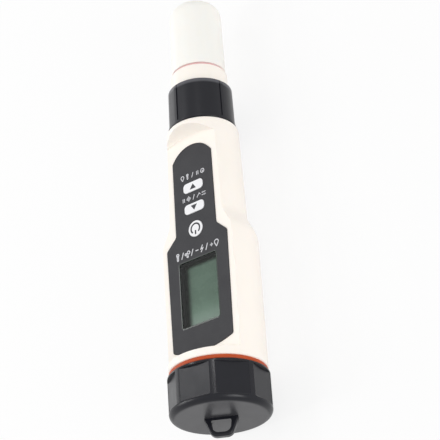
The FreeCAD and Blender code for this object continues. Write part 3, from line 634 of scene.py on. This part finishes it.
# %% Bevelled edge of the window
polished_edge, tree, shader = material("polished acrylic edge", {"IOR": 1.49})
drift(tree, shader, 4, "#323835", "#3B423E")
drift(tree, shader, 2, 0.2, 0.28, "Roughness")
corner_radius = 1.15 * mm
corner_steps = 8
low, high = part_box("display_window")
corners = ((high.x, high.y, 0), (low.x, high.y, 90), (low.x, low.y, 180), (high.x, low.y, 270))
outline = np.vstack([
    arc((x - np.sign(x) * corner_radius, y + (corner_radius if y == low.y else -corner_radius)),
        corner_radius, start, start + 90, corner_steps)
    for x, y, start in corners
])
bevel_out = -0.1 * mm
bevel_in = 0.34 * mm
bead_width = 0.4 * mm
proud = 0.16 * mm
bead_depth = 0.2 * mm
bead = [
    (bevel_out, panel_level - ink_height),
    (bead_width, panel_level - bead_depth),
    (bead_width, panel_level + proud),
    (bevel_in, panel_level + proud),
]
points, faces = flat_sweep(outline, bead, closed=True)
new_piece("window_bevel", points, faces, polished_edge, "body", "clear_window")

# %% [markdown]
# The battery cap and the coupling nut screw on to necks of the housing. Each neck carries a low thread: a
# section carried along a helix, so that one turn moves the cap or the nut by one pitch. It shows as soon as
# they are unscrewed. The thread rises from nothing and sinks again at its ends, as a moulded one does.

# %% Threads on the necks
steps_per_turn = 72
fades_per_turn = 6
sunk = 0.1 * mm


def thread(radius, rear, front, pitch, height, width):
    """Point (i, j): angle i about the axis, radius + rise of corner j, rear + pitch per turn + shift of j.

    The foot of the ridge is sunk in the neck, and its rise fades at both ends.
    """
    turns = (front - rear) / pitch
    share = np.linspace(0, 1, int(turns * steps_per_turn) + 1)[:, None]
    angle = 2 * pi * turns * share
    fade = np.clip(np.minimum(share, 1 - share) * turns * fades_per_turn, 0, 1)
    shift = np.array([-0.5, -0.2, 0.2, 0.5])[None, :] * width
    rise = np.array([0, 1, 1, 0])[None, :] * height
    out = radius - sunk + (rise + sunk) * fade
    along = rear + (front - rear) * share + shift
    points = np.stack([out * np.sin(angle), along, axis_height + out * np.cos(angle)], axis=-1)
    return points.reshape(-1, 3), grid_faces(len(share), 4, False)


ridge = 0.22 * mm
end_gap = 1.2 * mm
ring_gap = 2.6 * mm
neck_rear, neck_front = (corner.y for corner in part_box("housing"))

rear_neck_radius = 15.9 * mm
cap_pitch = 2.5 * mm
rear_ridge_width = 1.1 * mm
start = neck_rear + end_gap
stop = housing_rear - ring_gap
rear_thread = thread(rear_neck_radius, start, stop, cap_pitch, ridge, rear_ridge_width)
new_piece("rear_neck_thread", *rear_thread, white_abs, "body", "white_shell", True)

front_neck_radius = 11.0 * mm
nut_pitch = 2.25 * mm
front_ridge_width = 1.0 * mm
front_thread_reach = 8.0 * mm
start = neck_front - front_thread_reach
stop = neck_front - end_gap
front_thread = thread(front_neck_radius, start, stop, nut_pitch, ridge, front_ridge_width)
new_piece("front_neck_thread", *front_thread, white_abs, "body", "white_shell", True)

# %% [markdown]
# The table is a sheet of white card. The camera, and every reflection, sees it nearly as bright as the sky,
# so the picture has the photograph's white ground. A small share of what they see is the lit card itself,
# which keeps the pen's soft shadow.


# %% Table
def seen_directly(tree):
    """One for rays from the camera, a mirror or a clear pane, and nothing for light that falls on things."""
    path = add(tree, "ShaderNodeLightPath")
    rays = [(path, "Is Camera Ray", 0), (path, "Is Glossy Ray", 1)]
    seen = add(tree, "ShaderNodeMath", {"operation": "MAXIMUM"}, rays)
    rays = [(seen, 0, 0), (path, "Is Transmission Ray", 1)]
    return add(tree, "ShaderNodeMath", {"operation": "MAXIMUM"}, rays)


card_share = 0.16
table_half = 12.0
table_mesh = bpy.data.meshes.new("table")
corner_signs = np.array([(-1, -1, 0), (1, -1, 0), (1, 1, 0), (-1, 1, 0)])
table_mesh.from_pydata((corner_signs * table_half).tolist(), [], [(0, 1, 2, 3)])
table = bpy.data.objects.new("table", table_mesh)
bpy.context.scene.collection.objects.link(table)
card, tree, matte = material("white card", {
    "Base Color": linear("#F2F2F2"),
    "Roughness": 0.9,
    "Specular IOR Level": 0.1,
})
seen = seen_directly(tree)
share = add(tree, "ShaderNodeMath", {"operation": "MULTIPLY", 1: 1 - card_share}, [(seen, 0, 0)])
glow = add(tree, "ShaderNodeEmission", {"Strength": 1.0})
surface = add(tree, "ShaderNodeMixShader", (), [(share, 0, 0), (matte, 0, 1), (glow, 0, 2)])
tree.links.new(surface.outputs[0], tree.nodes["Material Output"].inputs["Surface"])
table_mesh.materials.append(card)
print("the table is", 2 * table_half, "m wide")

# %% [markdown]
# The room is a light tent: an even pale light from all round, and white for the camera and for reflections.
# One lamp stands on the pen's left, low enough for the window's edge to shade the display. Three small ones
# hang above and draw the bright patches and lines on the black parts and on the window's bevel. A low one
# lights the left side, and one on the right fills the side that faces the camera. None stands where the
# window would mirror it to the camera.

# %% Light
sky_level = 0.62
world = bpy.data.worlds.new("light tent")
bpy.context.scene.world = world
world.use_nodes = True
tree = world.node_tree
sky = tree.nodes["Background"]
sky.inputs["Color"].default_value = (1, 1, 1, 1)
level = add(tree, "ShaderNodeMapRange", {"To Min": sky_level}, [(seen_directly(tree), 0, "Value")])
tree.links.new(level.outputs[0], sky.inputs["Strength"])


def softbox(name, place, size, power):
    """Square lamp of size metres and power watts, that faces the middle of the pen."""
    data = bpy.data.lights.new(name, "AREA")
    data.size = size
    data.energy = power
    made = bpy.data.objects.new(name, data)
    bpy.context.scene.collection.objects.link(made)
    made.matrix_world = aimed(Vector(place), Vector((0, 0, axis_height)))
    print(name, "gives", power, "W from", round(Vector(place).length, 2), "m away")


softbox("left softbox", (-0.82, -0.12, 0.70), 0.3, 2.1)
softbox("rear left softbox", (-0.52, -0.20, 0.85), 0.16, 1.0)
softbox("front left softbox", (-0.36, 0.38, 0.87), 0.16, 0.9)
softbox("front right softbox", (0.43, 0.38, 0.84), 0.1, 0.5)
softbox("low left softbox", (-0.87, 0.46, 0.18), 0.5, 1.0)
softbox("fill softbox", (0.97, -0.55, 0.33), 0.5, 4.3)
bpy.context.scene.view_settings.view_transform = "Standard"
